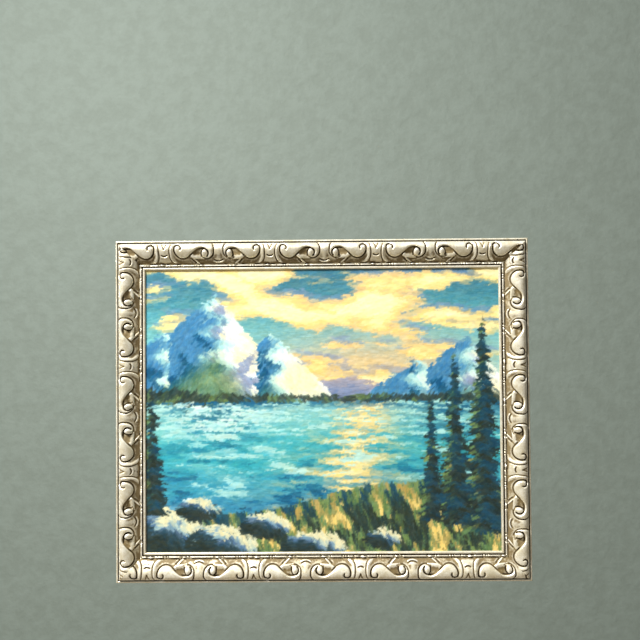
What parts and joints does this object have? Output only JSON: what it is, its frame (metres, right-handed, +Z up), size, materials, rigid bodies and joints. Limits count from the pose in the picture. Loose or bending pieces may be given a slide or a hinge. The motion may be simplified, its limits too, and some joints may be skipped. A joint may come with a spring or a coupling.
{
  "type": "framed oil painting",
  "caption": "Landscape oil painting on stretched canvas in a mitred frame of carved running-scroll moulding with an antiqued silver finish, made to hang on a wall.",
  "frame": {"origin": "middle of the back face of the hanging plate, on the back of the top rail, where the wall is", "axes": "+Z up, +X to the right as seen from in front, and +Y into the wall: the picture faces -Y"},
  "size_m": [0.581, 0.0295, 0.4794],
  "materials": {
    "silver_leaf": "champagne-silver leaf over carved wood, brown antique wash in the hollows, satin metallic sheen",
    "oil_on_canvas": "oil paint on primed canvas, brushwork in low relief under a satin varnish; bare linen behind",
    "stretcher_pine": "bare planed pine",
    "zinc_steel": "dull zinc plating"
  },
  "bodies": {
    "root": {"frame_top": "silver_leaf", "frame_right": "silver_leaf", "frame_bottom": "silver_leaf", "frame_left": "silver_leaf", "canvas": "oil_on_canvas", "stretcher_top": "stretcher_pine", "stretcher_right": "stretcher_pine", "stretcher_bottom": "stretcher_pine", "stretcher_left": "stretcher_pine", "retaining_plate_top": "zinc_steel", "retaining_plate_right": "zinc_steel", "retaining_plate_bottom": "zinc_steel", "retaining_plate_left": "zinc_steel", "hanging_plate": "zinc_steel"}
  },
  "joints": []
}
